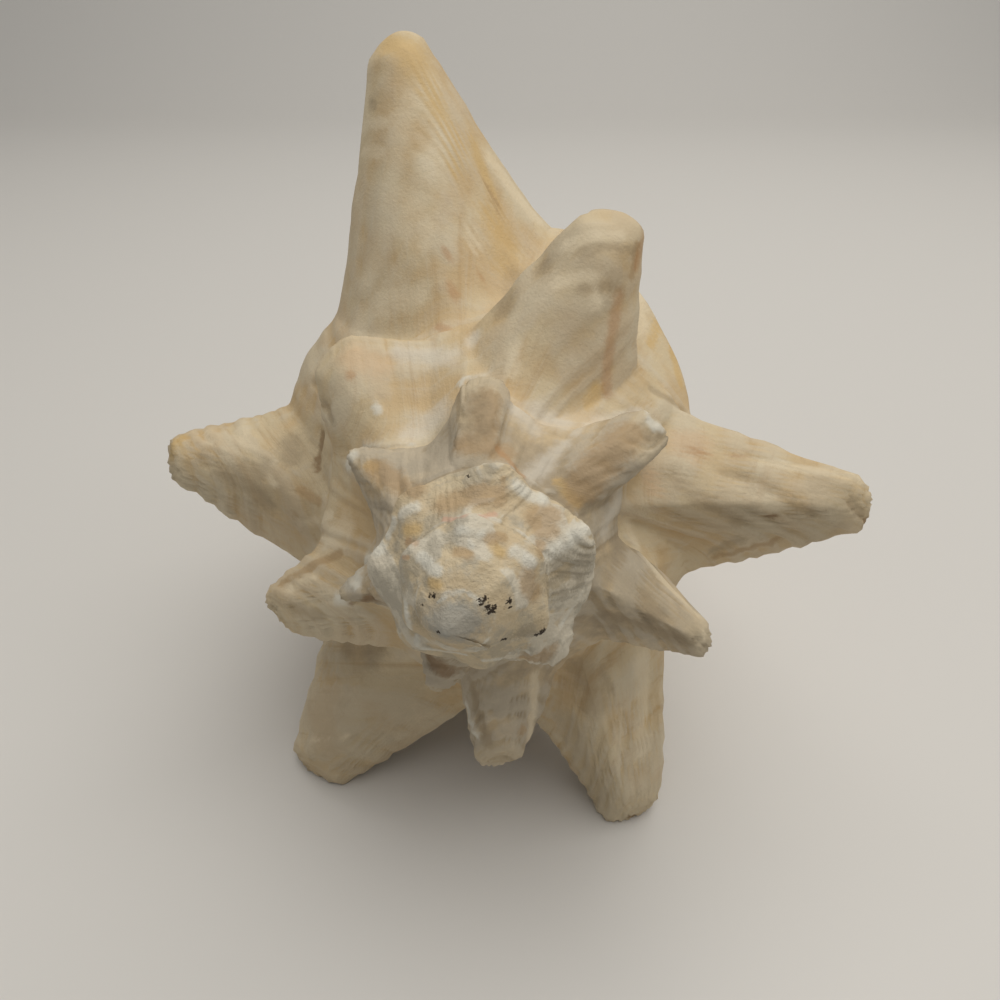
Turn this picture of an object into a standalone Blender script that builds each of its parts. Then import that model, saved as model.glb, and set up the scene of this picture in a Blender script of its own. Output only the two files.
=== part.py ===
# Large spiny conch shell, grown as one piece, lying on two of its spines and its canal tip
import bpy
import bmesh
import numpy as np

MM = 0.001

# Coil of the shell, in millimetres and degrees; a turn angle adds up along the spiral from the apex
WHORL_GROWTH = 1.533
SIZE_TURN = 1090.0
SHOULDER_RADIUS = 64.9
DEPTH_PER_RADIUS = 1.395
DEPTH_START = -5.6
WALL_DEPTH = 4.0
CANAL_DEPTH = 222.0
CANAL_RADIUS = 9.0
LAST_TURN = 1140.0
# The worn nub's foremost point, and the shares and bulge of the rings that lead to it
NUB_PEAK = (-1.9, -4.9, 1.5)
NUB_RINGS = (0.85, 0.6, 0.3)
NUB_BULGE = 1.9
CANAL_RINGS = (0.6,)
CANAL_BULGE = 2.0
CANAL_DOME = 2.0
# The oldest whorls sit a little off the later axis, down and to the left, back on it at BEND_DEPTH
BEND_ACROSS = -0.5
BEND_UP = -2.4
BEND_DEPTH = 60.0
WALL_THICKNESS = 4.5
LIP_FLARE = 5.0
POCKET_TURN = 170.0

# How the shell lies: the axis starts at the apex point and dips towards the canal
AXIS_HEADING = 6.58
AXIS_DIP = 23.75
APEX_POINT = (-3.64, -102.5, 96.36)

# Grid of the solid: columns in one turn, rows on a whorl and rows on the body below it
COLUMNS = 72
TURNS = 4.75
WHORL_ROWS = 8
BODY_ROWS = 16
SHOULDER_ROW = 0.75

# Each spine: turn and radius and depth of its tip, turn of its foot, half widths of the foot before
# and behind in degrees, roundness of its section, flat share of its tip, curve of its flanks
SPINES = {
    "e": (196.2, 24.8, 25.7, 197.0, 17.0, 15.0, 1.6, 0.18, 1.3),
    "f": (249.5, 27.8, 28.0, 251.0, 14.0, 13.0, 1.6, 0.20, 1.2),
    "g": (303.2, 29.4, 30.1, 305.0, 15.0, 15.0, 2.2, 0.40, 1.3),
    "a": (355.2, 30.7, 32.2, 355.0, 14.0, 15.0, 3.0, 0.52, 1.1),
    "b": (410.0, 38.6, 34.6, 407.0, 15.0, 18.0, 3.0, 0.50, 1.3),
    "c": (472.2, 46.2, 38.1, 470.0, 19.0, 20.0, 3.0, 0.42, 1.3),
    "d": (533.5, 50.8, 41.7, 531.0, 21.0, 18.0, 3.0, 0.44, 1.2),
    "f2": (604.9, 52.4, 45.9, 602.0, 27.0, 22.0, 2.2, 0.34, 1.4),
    "h": (673.2, 49.7, 49.8, 674.0, 23.0, 25.0, 1.9, 0.34, 1.2),
    "b2": (738.5, 66.6, 53.4, 737.0, 27.0, 22.0, 2.2, 0.34, 1.15),
    "c2": (805.1, 78.0, 58.7, 801.0, 25.0, 24.0, 1.6, 0.32, 1.3),
    "d2": (873.6, 83.9, 64.8, 861.0, 20.0, 30.0, 1.7, 0.36, 1.25),
    "e2": (933.0, 88.6, 68.6, 936.0, 29.0, 17.0, 1.9, 0.38, 1.1),
    "g2": (993.9, 85.6, 74.1, 992.0, 23.0, 18.0, 1.8, 0.34, 1.3),
    "a2": (1063.5, 108.5, 79.4, 1062.0, 28.0, 24.0, 1.9, 0.20, 1.3),
}
# Low knobs on the small whorls: turn angles, and their rise and half width for their whorl
KNOB_TURNS = (135.0, 68.0, 12.0, -43.0, -90.0, -140.0, -192.0, -246.0, -302.0, -359.0, -420.0, -478.0)
KNOB_RISE = 0.11
KNOB_HALF_WIDTH = 27.0
# Places where the shoulder is drawn in, and by what share of its radius
WAISTS = (
    (35.0, 22.0, 0.06), (118.0, 22.0, 0.07), (160.0, 24.0, 0.05), (225.0, 110.0, 0.15), (223.0, 20.0, 0.08),
    (277.0, 20.0, 0.12), (330.0, 22.0, 0.17), (382.0, 20.0, 0.09), (440.0, 27.0, 0.17), (501.0, 24.0, 0.08),
    (567.0, 26.0, 0.06), (640.0, 22.0, 0.05), (831.0, 24.0, 0.11), (965.0, 20.0, 0.04),
)


def growth(turn):
    """Size of the spiral at a turn angle, 1 where SHOULDER_RADIUS holds."""
    return WHORL_GROWTH ** ((turn - SIZE_TURN) / 360.0)


def shoulder(turn):
    """Radius and depth of the shoulder between the spines."""
    radius = SHOULDER_RADIUS * growth(turn)
    depth = DEPTH_PER_RADIUS * radius + DEPTH_START
    for middle, width, share in WAISTS:
        radius = radius * (1.0 - share * window((turn - middle) / width))
    return radius, depth


def window(x):
    """A smooth hump, 1 at 0 and 0 from 1 outwards."""
    return np.cos(np.clip(x, -1.0, 1.0) * np.pi / 2) ** 2


def step(x):
    """A smooth step from 0 at 0 to 1 at 1."""
    x = np.clip(x, 0.0, 1.0)
    return x * x * (3.0 - 2.0 * x)


def side_ratio(turn, foot, before, behind):
    """Turn angle from a spine's foot, as a share of its half width on that side."""
    return np.where(turn < foot, (foot - turn) / before, (turn - foot) / behind)


def suture(turn):
    """Radius and depth of a whorl's lower edge, pushed out and down where a spine stands on it."""
    radius, depth = shoulder(turn)
    depth = depth + WALL_DEPTH * growth(turn)
    for tip_turn, tip_radius, tip_depth, foot, before, behind, *_ in SPINES.values():
        if foot < LAST_TURN - 360.0:
            hump = window(0.95 * side_ratio(turn, foot, before, behind))
            reach = tip_radius - shoulder(foot)[0]
            radius = radius + 0.22 * reach * hump
            depth = depth + (0.03 * tip_radius + 0.10 * reach) * hump
    return radius, depth


def whorl(turn, row):
    """Radius and depth on a whorl: a cubic curve from its upper edge (row 0), down a hollow ramp
    and round the shoulder, to its lower edge (row 1)."""
    top_radius, top_depth = suture(turn - 360.0)
    low_radius, low_depth = suture(turn)
    shoulder_radius, shoulder_depth = shoulder(turn)
    near_radius = top_radius + 0.26 * (shoulder_radius - top_radius)
    near_depth = top_depth + 0.45 * (shoulder_depth - top_depth)
    far_radius = shoulder_radius * 1.04
    far_depth = shoulder_depth - 0.06 * shoulder_radius
    a = (1.0 - row) ** 3
    b = 3.0 * row * (1.0 - row) ** 2
    c = 3.0 * row * row * (1.0 - row)
    d = row ** 3
    radius = a * top_radius + b * near_radius + c * far_radius + d * low_radius
    depth = a * top_depth + b * near_depth + c * far_depth + d * low_depth
    return radius, depth


def body(turn, share, canal_radius=CANAL_RADIUS):
    """Radius and depth on the last whorl below its shoulder: it narrows from its lower edge
    (share 0) to the canal (share 1), hollow where the whorl starts and full near the lip."""
    low_radius, low_depth = suture(turn)
    full = step((turn - 780.0) / 300.0)
    hollow_curve = (1.0 - share) ** 1.6
    full_curve = (1.0 - share ** 2) ** 1.2
    curve = hollow_curve + (full_curve - hollow_curve) * full
    radius = canal_radius + (low_radius - canal_radius) * curve
    flare = LIP_FLARE * step((turn - 1050.0) / 55.0)
    radius = radius + flare * np.sin(np.pi * np.clip(share, 0.0, 1.0)) ** 1.5
    depth = low_depth + (CANAL_DEPTH - low_depth) * share
    return radius, depth


def cylinder_point(turn, radius, depth):
    """Points in the shell's own frame: across, up and along the axis, which bends near the apex."""
    angle = np.radians(turn)
    bend = np.clip(1.0 - depth / BEND_DEPTH, 0.0, None) ** 2
    across = radius * np.sin(angle) + BEND_ACROSS * bend
    up = radius * np.cos(angle) + BEND_UP * bend
    return np.stack([across, up, depth + 0.0 * turn], axis=-1)


def spine_push(turn, row, share):
    """How far each point is pushed out by the spines and knobs."""
    push = np.zeros(turn.shape + (3,))
    size = growth(turn)
    open_body = step((turn - (LAST_TURN - 360.0)) / 25.0)
    low_depth = suture(turn)[1]
    drop = np.where(share > 0, (CANAL_DEPTH - low_depth) * share + WALL_DEPTH * size,
                    np.clip((row - SHOULDER_ROW) / (1.0 - SHOULDER_ROW), 0.0, 1.0) * WALL_DEPTH * size)
    rise = np.clip((SHOULDER_ROW - row) / SHOULDER_ROW, 0.0, 1.0) / 0.95
    for tip_turn, tip_radius, tip_depth, foot, before, behind, power, flat, flank in SPINES.values():
        across = side_ratio(turn, foot, before, behind)
        foot_width = 0.5 * np.radians(before + behind) * shoulder(foot)[0]
        below = WALL_DEPTH * size + (1.15 * foot_width - WALL_DEPTH * size) * open_body
        along = np.where(row < SHOULDER_ROW, rise, drop / below)
        reach = (across ** power + along ** power) ** (1.0 / power)
        slope = np.clip((reach - flat) / (1.0 - flat), 0.0, 1.0)
        height = (1.0 - slope) ** flank
        height = height * (1.0 - 0.06 * np.clip(reach / flat, 0.0, 1.0) ** 2)
        foot_radius, foot_depth = whorl(np.array(foot), np.array(SHOULDER_ROW))
        start = cylinder_point(np.array(foot), foot_radius, foot_depth)
        end = cylinder_point(np.array(tip_turn), np.array(tip_radius), np.array(tip_depth))
        push += height[..., None] * (end - start)
    for knob in KNOB_TURNS:
        across = np.abs(turn - knob) / KNOB_HALF_WIDTH
        along = np.where(row < SHOULDER_ROW, rise, drop / (WALL_DEPTH * size))
        height = window(np.sqrt(across ** 2 + along ** 2))
        angle = np.radians(knob)
        outward = np.array([np.sin(angle), np.cos(angle), -0.3])
        push += height[..., None] * KNOB_RISE * shoulder(knob)[0] * outward
    return push


def lip_lag(row_place, share):
    """How many degrees the lip's edge falls behind its end on the suture: most at the shoulder and
    the middle, less at the canal, with a shallow notch before it."""
    ramp = step(row_place / SHOULDER_ROW)
    lag = 50.0 * ramp
    lag = lag - 8.0 * step(share / 0.4) - 27.0 * step((share - 0.5) / 0.5)
    return lag + 9.0 * window((share - 0.80) / 0.10)


def outer_point(turn, row, share):
    """A point of the outside with its spines."""
    radius, depth = whorl(turn, row)
    low_radius, low_depth = body(turn, share)
    on_body = share > 0
    radius = np.where(on_body, low_radius, radius)
    depth = np.where(on_body, low_depth, depth)
    return cylinder_point(turn, radius, depth) + spine_push(turn, row, share)


def column_turn(base_turn, row, share):
    """Turn angle of a column at each row: near the lip the columns bend along its edge."""
    bend = step((base_turn - (LAST_TURN - 170.0)) / 170.0)
    canal = 15.0 * step(share)
    return base_turn - bend * (lip_lag(row, share) - canal) - canal


def pocket_point(turn, row, share, deep, sunk):
    """A point of the opening's outer wall: the outside moved in towards the column by the wall's
    thickness; deep is 0 at the lip and 1 from 25 degrees in, sunk is the share of the thickness."""
    radius, depth = whorl(turn, row)
    low_radius, low_depth = body(turn, share)
    on_body = share > 0
    radius = np.where(on_body, low_radius, radius)
    depth = np.where(on_body, low_depth, depth)
    ramp = step(row / SHOULDER_ROW)
    target_depth = depth + 9.0 * (1.0 - ramp)
    top_radius, top_depth = suture(turn - 360.0)
    target_share = np.clip((target_depth - top_depth) / (CANAL_DEPTH - top_depth), 0.0, 1.0)
    target_radius, target_depth = body(turn - 360.0, target_share, CANAL_RADIUS - 5.0 * deep)
    gap_radius = target_radius - radius
    gap_depth = target_depth - depth
    gap = np.sqrt(gap_radius ** 2 + gap_depth ** 2) + 1e-6
    move = np.minimum(WALL_THICKNESS, 0.45 * gap) * sunk / gap
    return cylinder_point(turn, radius + move * gap_radius, depth + move * gap_depth)


def column_point(turn, share, deep):
    """A point of the column side of the opening."""
    start = 5.0 * deep / CANAL_DEPTH * 1.5
    return cylinder_point(turn, *body(turn, start + (1.0 - start) * share, CANAL_RADIUS - 5.0 * deep))


def shell_mesh():
    """Vertices and faces of the closed shell, in its own frame."""
    total = int(round(COLUMNS * TURNS))
    base_turn = LAST_TURN - (total - np.arange(total + 1)) * 360.0 / COLUMNS
    rows = np.arange(WHORL_ROWS + 1) / WHORL_ROWS
    turn_grid, row_grid = np.meshgrid(base_turn, rows[:-1], indexing="ij")
    turns = column_turn(turn_grid, row_grid, 0.0 * row_grid)
    vertices = list(outer_point(turns, row_grid, 0.0 * row_grid).reshape(-1, 3))
    grid = np.arange((total + 1) * WHORL_ROWS).reshape(total + 1, WHORL_ROWS)
    faces = []

    # The last turn goes on down to the canal, below the whorl's lower edge
    first = total - COLUMNS
    shares = (np.arange(BODY_ROWS + 1) / BODY_ROWS) ** 1.25
    last_turns, share_grid = np.meshgrid(base_turn[first:], shares, indexing="ij")
    bent = column_turn(last_turns, 1.0 + 0.0 * share_grid, share_grid)
    lower = outer_point(bent, 1.0 + 0.0 * share_grid, np.maximum(share_grid, 1e-9))
    body_grid = np.zeros((COLUMNS + 1, BODY_ROWS + 1), dtype=int)
    for i in range(COLUMNS + 1):
        for j in range(BODY_ROWS + 1):
            if i == 0 and j == 0:
                body_grid[i, j] = grid[total, 0]
            elif i == COLUMNS and j == BODY_ROWS:
                body_grid[i, j] = body_grid[0, BODY_ROWS]
            else:
                body_grid[i, j] = len(vertices)
                vertices.append(lower[i, j])

    def whorl_index(i, j):
        if j < WHORL_ROWS:
            return grid[i, j]
        if i + COLUMNS <= total:
            return grid[i + COLUMNS, 0]
        return body_grid[i - first, 0]

    for i in range(total):
        for j in range(WHORL_ROWS):
            faces.append([whorl_index(i, j), whorl_index(i + 1, j),
                          whorl_index(i + 1, j + 1), whorl_index(i, j + 1)])
    for i in range(COLUMNS):
        for j in range(BODY_ROWS):
            faces.append([body_grid[i, j], body_grid[i + 1, j], body_grid[i + 1, j + 1], body_grid[i, j + 1]])

    # The canal's end is a low dome
    ring = [body_grid[i, BODY_ROWS] for i in range(COLUMNS)]
    peak = np.array([0.0, 0.0, CANAL_DEPTH + CANAL_DOME])
    close_dome(vertices, faces, ring, peak, CANAL_RINGS, CANAL_BULGE)

    # The worn nub closes the first turn
    loop = [grid[i, 0] for i in range(COLUMNS)] + [whorl_index(0, j) for j in range(WHORL_ROWS, 0, -1)]
    close_dome(vertices, faces, loop, np.array(NUB_PEAK), NUB_RINGS, NUB_BULGE)

    # The opening runs back inside the last turn from the lip
    lip_rows = np.concatenate([rows, np.ones(BODY_ROWS)])
    lip_shares = np.concatenate([np.zeros(WHORL_ROWS + 1), shares[1:]])
    lip_turns = column_turn(np.full(lip_rows.shape, LAST_TURN), lip_rows, lip_shares)
    column_shares = shares[1:-1][::-1]
    column_turns = column_turn(np.full(column_shares.shape, LAST_TURN - 360.0), 1.0, column_shares)
    lip_indices = [whorl_index(total, j) for j in range(WHORL_ROWS)] + list(body_grid[COLUMNS, :])
    outer_loop = lip_indices + list(body_grid[0, 1:-1][::-1])
    lip_push = spine_push(lip_turns, lip_rows, lip_shares)
    depths = (0.0, 3.0, 10.0, 22.0, 38.0, 58.0, 82.0, 110.0, 140.0, POCKET_TURN)
    previous = outer_loop
    for number, depth in enumerate(depths):
        deep = min(depth / 25.0 + 0.1, 1.0)
        sunk = 0.5 if number == 0 else 1.0
        ahead = 1.2 if number == 0 else 0.0
        wall = pocket_point(lip_turns - depth + ahead, lip_rows, lip_shares, deep, sunk)
        wall = wall + lip_push * np.exp(-depth / 9.0)
        side = column_point(column_turns - depth - 1.5, column_shares, deep)
        loop_points = np.concatenate([wall, side])
        if depth == POCKET_TURN:
            middle = loop_points.mean(axis=0)
            loop_points = middle + 0.6 * (loop_points - middle)
        current = list(range(len(vertices), len(vertices) + len(loop_points)))
        vertices.extend(loop_points)
        join_loops(faces, previous, current)
        previous = current
    middle_index = len(vertices)
    vertices.append(np.mean([vertices[i] for i in previous], axis=0))
    for i in range(len(previous)):
        faces.append([previous[i], previous[(i + 1) % len(previous)], middle_index])
    return np.array(vertices), faces


def join_loops(faces, outer, inner):
    """Quads between two loops of the same length."""
    count = len(outer)
    for i in range(count):
        k = (i + 1) % count
        faces.append([outer[i], outer[k], inner[k], inner[i]])


def close_dome(vertices, faces, loop, peak, shares, bulge):
    """Close a loop with rings that shrink to a peak; bulge 1 is a cone and 2 a dome."""
    edge = np.array([vertices[i] for i in loop])
    previous = list(loop)
    for share in shares:
        ring = peak + (edge - peak) * share
        ring[:, 2] = peak[2] + (edge[:, 2] - peak[2]) * share ** bulge
        current = list(range(len(vertices), len(vertices) + len(ring)))
        vertices.extend(ring)
        join_loops(faces, previous, current)
        previous = current
    peak_index = len(vertices)
    vertices.append(peak)
    for i in range(len(previous)):
        faces.append([previous[i], previous[(i + 1) % len(previous)], peak_index])


def lying(points):
    """Turn the shell's own frame to how it lies, in millimetres."""
    heading = np.radians(AXIS_HEADING)
    dip = np.radians(AXIS_DIP)
    along = np.array([np.sin(heading) * np.cos(dip), np.cos(heading) * np.cos(dip), -np.sin(dip)])
    up = np.array([np.sin(heading) * np.sin(dip), np.cos(heading) * np.sin(dip), np.cos(dip)])
    across = np.cross(along, up)
    frame = np.stack([across, up, along])
    return np.array(APEX_POINT) + points @ frame


def shell_material():
    """Matte weathered shell, cream with a warm tone."""
    material = bpy.data.materials.new("weathered_shell")
    material.use_nodes = True
    surface = material.node_tree.nodes["Principled BSDF"]
    surface.inputs["Base Color"].default_value = (0.72, 0.55, 0.38, 1.0)
    surface.inputs["Roughness"].default_value = 0.55
    surface.inputs["Metallic"].default_value = 0.0
    return material


def build_shell():
    """The shell, with worn flats where its spines and its canal touch the ground."""
    points, faces = shell_mesh()
    mesh = bpy.data.meshes.new("shell")
    mesh.from_pydata((lying(points) * MM).tolist(), [], faces)
    solid = bmesh.new()
    solid.from_mesh(mesh)
    bmesh.ops.recalc_face_normals(solid, faces=solid.faces)
    everything = solid.verts[:] + solid.edges[:] + solid.faces[:]
    cut = bmesh.ops.bisect_plane(solid, geom=everything, plane_co=(0, 0, 0), plane_no=(0, 0, 1),
                                 clear_inner=True)
    rim = [item for item in cut["geom_cut"] if isinstance(item, bmesh.types.BMEdge)]
    bmesh.ops.holes_fill(solid, edges=rim, sides=0)
    bmesh.ops.triangulate(solid, faces=solid.faces)
    bmesh.ops.recalc_face_normals(solid, faces=solid.faces)
    solid.to_mesh(mesh)
    solid.free()
    mesh.shade_smooth()
    shell = bpy.data.objects.new("shell", mesh)
    bpy.context.scene.collection.objects.link(shell)
    mesh.materials.append(shell_material())
    return shell


for old in list(bpy.data.objects):
    bpy.data.objects.remove(old)
build_shell()
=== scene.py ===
# Large spiny conch shell, bleached and worn, lying on two of its spines and its canal tip
import bmesh
import bpy
import numpy as np
from mathutils import Euler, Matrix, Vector
from mathutils.bvhtree import BVHTree


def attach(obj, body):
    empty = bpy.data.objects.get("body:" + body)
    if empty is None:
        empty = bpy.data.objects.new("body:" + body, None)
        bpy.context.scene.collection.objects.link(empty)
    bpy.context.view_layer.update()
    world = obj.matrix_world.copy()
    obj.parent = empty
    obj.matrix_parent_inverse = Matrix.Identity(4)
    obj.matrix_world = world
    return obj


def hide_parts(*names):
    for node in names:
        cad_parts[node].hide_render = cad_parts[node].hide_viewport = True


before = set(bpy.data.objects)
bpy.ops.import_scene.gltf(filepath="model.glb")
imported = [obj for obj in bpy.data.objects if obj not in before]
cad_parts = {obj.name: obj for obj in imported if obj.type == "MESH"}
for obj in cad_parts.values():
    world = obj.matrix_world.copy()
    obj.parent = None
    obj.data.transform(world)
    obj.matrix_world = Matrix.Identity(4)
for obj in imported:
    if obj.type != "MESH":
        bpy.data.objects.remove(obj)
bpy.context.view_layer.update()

# The coil. The shell is one tube of lime that the animal laid down along a widening spiral, each
# whorl overlapping the one before it just below its shoulder. A turn angle adds up along the spiral
# from the apex, in degrees, and lengths are in millimetres in the shell's own frame.
WHORL_GROWTH = 1.533
SIZE_TURN = 1090.0
SHOULDER_RADIUS = 64.9
DEPTH_PER_RADIUS = 1.395
DEPTH_START = -5.6
WALL_DEPTH = 4.0
CANAL_DEPTH = 222.0
CANAL_RADIUS = 9.0
LAST_TURN = 1140.0
LIP_FLARE = 5.0
SHOULDER_ROW = 0.75
# Places where the shoulder is drawn in: turn, width, share of its radius
WAISTS = (
    (35.0, 22.0, 0.06), (118.0, 22.0, 0.07), (160.0, 24.0, 0.05), (225.0, 110.0, 0.15), (223.0, 20.0, 0.08),
    (277.0, 20.0, 0.12), (330.0, 22.0, 0.17), (382.0, 20.0, 0.09), (440.0, 27.0, 0.17), (501.0, 24.0, 0.08),
    (567.0, 26.0, 0.06), (640.0, 22.0, 0.05), (831.0, 24.0, 0.11), (965.0, 20.0, 0.04),
)
# The oldest whorls sit a little off the later axis, back on it at BEND_DEPTH
BEND_ACROSS = -0.5
BEND_UP = -2.4
BEND_DEPTH = 60.0


def growth(turn):
    """Size of the spiral at a turn angle: a power of the growth in one whorl."""
    return WHORL_GROWTH ** ((turn - SIZE_TURN) / 360.0)


def window(x):
    """A smooth hump: squared cosine, 1 at 0 and 0 from 1 outwards."""
    return np.cos(np.clip(x, -1.0, 1.0) * np.pi / 2) ** 2


def step(x):
    """A smooth step: three x squared less two x cubed, from 0 at 0 to 1 at 1."""
    x = np.clip(x, 0.0, 1.0)
    return x * x * (3.0 - 2.0 * x)


def shoulder(turn):
    """Radius and depth of the shoulder between the spines: depth is in proportion to radius."""
    radius = SHOULDER_RADIUS * growth(turn)
    depth = DEPTH_PER_RADIUS * radius + DEPTH_START
    for middle, width, share in WAISTS:
        radius = radius * (1.0 - share * window((turn - middle) / width))
    return radius, depth


def cylinder_point(turn, radius, depth):
    """Across, up and along the axis: a circle of that radius, shifted near the apex."""
    angle = np.radians(turn)
    bend = np.clip(1.0 - depth / BEND_DEPTH, 0.0, None) ** 2
    across = radius * np.sin(angle) + BEND_ACROSS * bend
    up = radius * np.cos(angle) + BEND_UP * bend
    return np.stack([across, up, depth + 0.0 * turn], axis=-1)


# The spines and knobs. Where the animal's mantle stood out in a fold the wall grew a hollow spine,
# and on the small old whorls only a low knob; all of one piece with the wall.
# Each spine: turn, radius and depth of its tip, turn of its foot, half widths of the foot before
# and behind in degrees, roundness of its section, flat share of its tip, curve of its flanks
SPINES = {
    "e": (196.2, 28.0, 26.6, 197.0, 20.0, 18.0, 1.6, 0.22, 1.2),
    "f": (249.5, 27.8, 28.0, 251.0, 14.0, 13.0, 1.3, 0.20, 1.2),
    "g": (303.2, 30.6, 30.4, 305.0, 14.0, 14.0, 1.5, 0.20, 1.2),
    "a": (355.2, 30.7, 32.2, 355.0, 12.0, 13.0, 6.0, 0.62, 1.0),
    "b": (410.0, 38.8, 34.6, 407.0, 14.0, 17.0, 5.0, 0.50, 1.2),
    "c": (469.8, 46.4, 38.1, 457.0, 11.0, 32.0, 1.4, 0.34, 1.2),
    "d": (536.0, 51.0, 41.7, 531.0, 21.0, 18.0, 3.0, 0.42, 1.15),
    "f2": (604.9, 52.4, 45.9, 602.0, 27.0, 22.0, 2.2, 0.34, 1.4),
    "h": (673.2, 49.7, 49.8, 674.0, 23.0, 25.0, 1.9, 0.34, 1.2),
    "b2": (738.5, 66.6, 53.4, 737.0, 27.0, 22.0, 2.2, 0.34, 1.15),
    "c2": (803.0, 78.0, 58.5, 792.0, 18.0, 33.0, 1.3, 0.32, 1.25),
    "d2": (873.6, 83.9, 64.8, 861.0, 20.0, 30.0, 1.45, 0.36, 1.25),
    "e2": (933.0, 88.6, 68.6, 936.0, 29.0, 17.0, 1.9, 0.38, 1.1),
    "g2": (993.9, 85.6, 74.1, 992.0, 23.0, 18.0, 1.8, 0.27, 1.25),
    "a2": (1063.5, 108.3, 79.4, 1062.0, 28.0, 24.0, 1.9, 0.235, 1.3),
}
KNOB_TURNS = (135.0, 68.0, 12.0, -43.0, -90.0, -140.0, -192.0, -246.0, -302.0, -359.0, -420.0, -478.0)
KNOB_RISE = 0.11
KNOB_HALF_WIDTH = 27.0


def side_ratio(turn, foot, before, behind):
    """Turn angle from a spine's foot, as a share of its half width on that side."""
    return np.where(turn < foot, (foot - turn) / before, (turn - foot) / behind)


def suture(turn):
    """Radius and depth of a whorl's lower edge, pushed out and down where a spine stands on it."""
    radius, depth = shoulder(turn)
    depth = depth + WALL_DEPTH * growth(turn)
    for tip_turn, tip_radius, tip_depth, foot, before, behind, *_ in SPINES.values():
        if foot < LAST_TURN - 360.0:
            hump = window(0.95 * side_ratio(turn, foot, before, behind))
            reach = tip_radius - shoulder(foot)[0]
            radius = radius + 0.22 * reach * hump
            depth = depth + (0.03 * tip_radius + 0.10 * reach) * hump
    return radius, depth


def whorl(turn, row):
    """Radius and depth on a whorl: a cubic curve from its upper edge (row 0), down a hollow ramp
    and round the shoulder, to its lower edge (row 1)."""
    top_radius, top_depth = suture(turn - 360.0)
    low_radius, low_depth = suture(turn)
    shoulder_radius, shoulder_depth = shoulder(turn)
    near_radius = top_radius + 0.26 * (shoulder_radius - top_radius)
    near_depth = top_depth + 0.45 * (shoulder_depth - top_depth)
    far_radius = shoulder_radius * 1.04
    far_depth = shoulder_depth - 0.06 * shoulder_radius
    a = (1.0 - row) ** 3
    b = 3.0 * row * (1.0 - row) ** 2
    c = 3.0 * row * row * (1.0 - row)
    d = row ** 3
    radius = a * top_radius + b * near_radius + c * far_radius + d * low_radius
    depth = a * top_depth + b * near_depth + c * far_depth + d * low_depth
    return radius, depth


def body(turn, share, canal_radius=CANAL_RADIUS):
    """Radius and depth on the last whorl below its shoulder: it narrows from its lower edge
    (share 0) to the canal (share 1), hollow where the whorl starts and full near the lip."""
    low_radius, low_depth = suture(turn)
    full = step((turn - 780.0) / 300.0)
    hollow_curve = (1.0 - share) ** 1.6
    full_curve = (1.0 - share ** 2) ** 1.2
    curve = hollow_curve + (full_curve - hollow_curve) * full
    radius = canal_radius + (low_radius - canal_radius) * curve
    flare = LIP_FLARE * step((turn - 1050.0) / 55.0)
    radius = radius + flare * np.sin(np.pi * np.clip(share, 0.0, 1.0)) ** 1.5
    depth = low_depth + (CANAL_DEPTH - low_depth) * share
    return radius, depth


def spine_push(turn, row, share):
    """How far each point is pushed out by the spines and knobs, and how high up a spine it stands,
    which goes on rising over the flat tip.
    Each spine is its foot-to-tip vector times a height that falls from the tip to the foot's edge,
    with a rounded or a four-sided section."""
    push = np.zeros(turn.shape + (3,))
    up_spine = np.zeros(turn.shape)
    size = growth(turn)
    open_body = step((turn - (LAST_TURN - 360.0)) / 25.0)
    low_depth = suture(turn)[1]
    drop = np.where(share > 0, (CANAL_DEPTH - low_depth) * share + WALL_DEPTH * size,
                    np.clip((row - SHOULDER_ROW) / (1.0 - SHOULDER_ROW), 0.0, 1.0) * WALL_DEPTH * size)
    rise = np.clip((SHOULDER_ROW - row) / SHOULDER_ROW, 0.0, 1.0) / 0.95
    for tip_turn, tip_radius, tip_depth, foot, before, behind, power, flat, flank in SPINES.values():
        across = side_ratio(turn, foot, before, behind)
        foot_width = 0.5 * np.radians(before + behind) * shoulder(foot)[0]
        below = WALL_DEPTH * size + (1.15 * foot_width - WALL_DEPTH * size) * open_body
        along = np.where(row < SHOULDER_ROW, rise, drop / below)
        reach = (across ** power + along ** power) ** (1.0 / power)
        slope = np.clip((reach - flat) / (1.0 - flat), 0.0, 1.0)
        height = (1.0 - slope) ** flank
        height = height * (1.0 - 0.06 * np.clip(reach / flat, 0.0, 1.0) ** 2)
        foot_radius, foot_depth = whorl(np.array(foot), np.array(SHOULDER_ROW))
        start = cylinder_point(np.array(foot), foot_radius, foot_depth)
        end = cylinder_point(np.array(tip_turn), np.array(tip_radius), np.array(tip_depth))
        push += height[..., None] * (end - start)
        beyond = 0.5 * np.clip(1.0 - reach / flat, 0.0, 1.0)
        up_spine = np.maximum(up_spine, height + beyond)
    for knob in KNOB_TURNS:
        across = np.abs(turn - knob) / KNOB_HALF_WIDTH
        along = np.where(row < SHOULDER_ROW, rise, drop / (WALL_DEPTH * size))
        height = window(np.sqrt(across ** 2 + along ** 2))
        angle = np.radians(knob)
        outward = np.array([np.sin(angle), np.cos(angle), -0.3])
        push += height[..., None] * KNOB_RISE * shoulder(knob)[0] * outward
        up_spine = np.maximum(up_spine, 0.6 * height)
    return push, up_spine


def outer_surface(turn, row, share):
    """The outside with its spines: points, and how high up a spine each one stands."""
    radius, depth = whorl(turn, row)
    low_radius, low_depth = body(turn, share)
    on_body = share > 0
    radius = np.where(on_body, low_radius, radius)
    depth = np.where(on_body, low_depth, depth)
    push, up_spine = spine_push(turn, row, share)
    return cylinder_point(turn, radius, depth) + push, up_spine


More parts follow.
